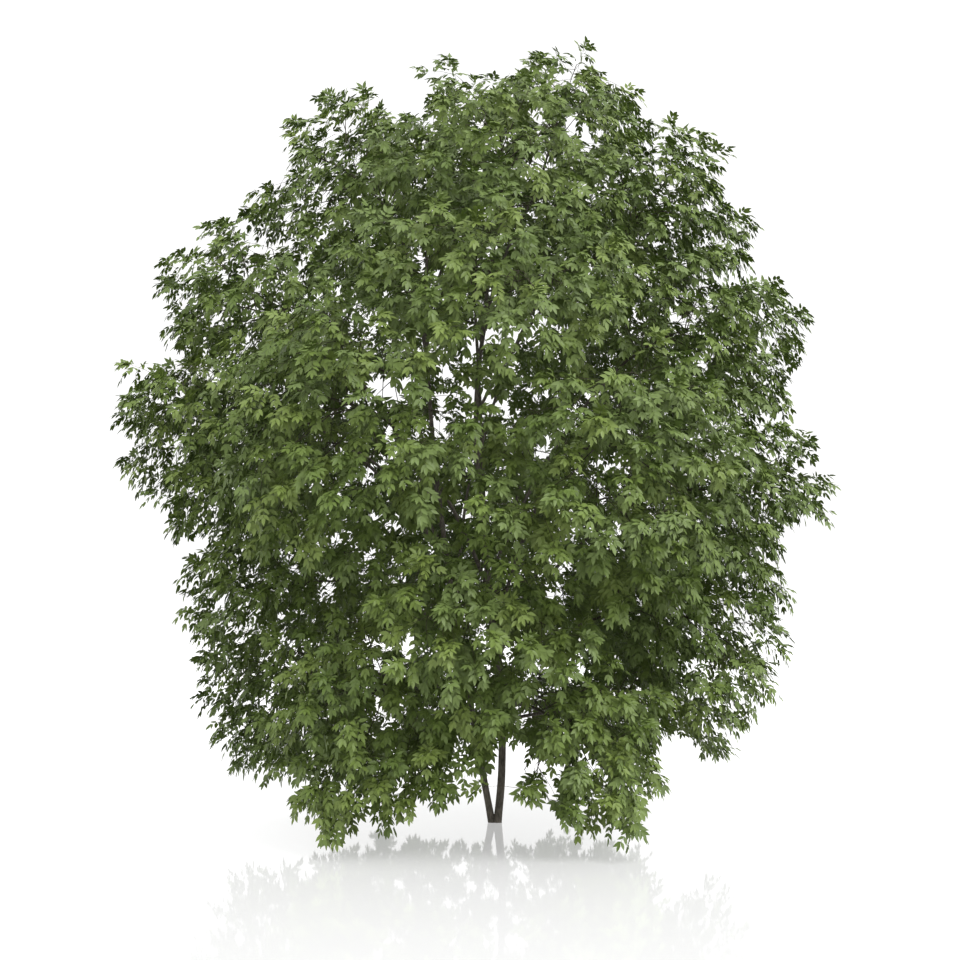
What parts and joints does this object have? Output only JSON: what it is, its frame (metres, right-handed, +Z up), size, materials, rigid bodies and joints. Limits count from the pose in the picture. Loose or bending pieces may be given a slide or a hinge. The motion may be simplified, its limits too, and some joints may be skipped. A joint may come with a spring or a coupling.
{
  "type": "multi-stemmed ash-leaved maple",
  "caption": "Round-headed broadleaf tree with slender stems forking at the ground, ascending boughs and drooping pinnate foliage down to the ground.",
  "frame": {"origin": "middle of the main (right) stem's flat cut at ground level", "axes": "+Z up along the plant's height, +X to the right and +Y away from the viewer in the picture"},
  "size_m": [5.1371, 5.0383, 5.9918],
  "materials": {
    "bark": "matt grey-brown bark",
    "leaves": "soft green leaf"
  },
  "bodies": {
    "root": {"stem_right": "bark", "stem_left": "bark", "bough_skirt_1": "bark", "bough_skirt_2": "bark", "bough_skirt_3": "bark", "bough_skirt_4": "bark", "bough_skirt_5": "bark", "bough_skirt_6": "bark", "bough_low_1": "bark", "bough_low_2": "bark", "bough_low_3": "bark", "bough_low_4": "bark", "bough_low_5": "bark", "bough_middle_1": "bark", "bough_middle_2": "bark", "bough_middle_3": "bark", "bough_middle_4": "bark", "bough_middle_5": "bark", "bough_middle_6": "bark", "bough_middle_7": "bark", "bough_high_1": "bark", "bough_high_2": "bark", "bough_high_3": "bark", "bough_high_4": "bark", "bough_high_5": "bark", "bough_crest_1": "bark", "bough_crest_2": "bark", "bough_crest_3": "bark", "bough_crest_4": "bark", "bough_crest_5": "bark", "foliage_skirt_1": "leaves", "foliage_skirt_2": "leaves", "foliage_skirt_3": "leaves", "foliage_skirt_4": "leaves", "foliage_skirt_5": "leaves", "foliage_skirt_6": "leaves", "foliage_low_1": "leaves", "foliage_low_2": "leaves", "foliage_low_3": "leaves", "foliage_low_4": "leaves", "foliage_low_5": "leaves", "foliage_middle_1": "leaves", "foliage_middle_2": "leaves", "foliage_middle_3": "leaves", "foliage_middle_4": "leaves", "foliage_middle_5": "leaves", "foliage_middle_6": "leaves", "foliage_middle_7": "leaves", "foliage_high_1": "leaves", "foliage_high_2": "leaves", "foliage_high_3": "leaves", "foliage_high_4": "leaves", "foliage_high_5": "leaves", "foliage_crest_1": "leaves", "foliage_crest_2": "leaves", "foliage_crest_3": "leaves", "foliage_crest_4": "leaves", "foliage_crest_5": "leaves", "foliage_top_left": "leaves", "foliage_top_right": "leaves"}
  },
  "joints": []
}
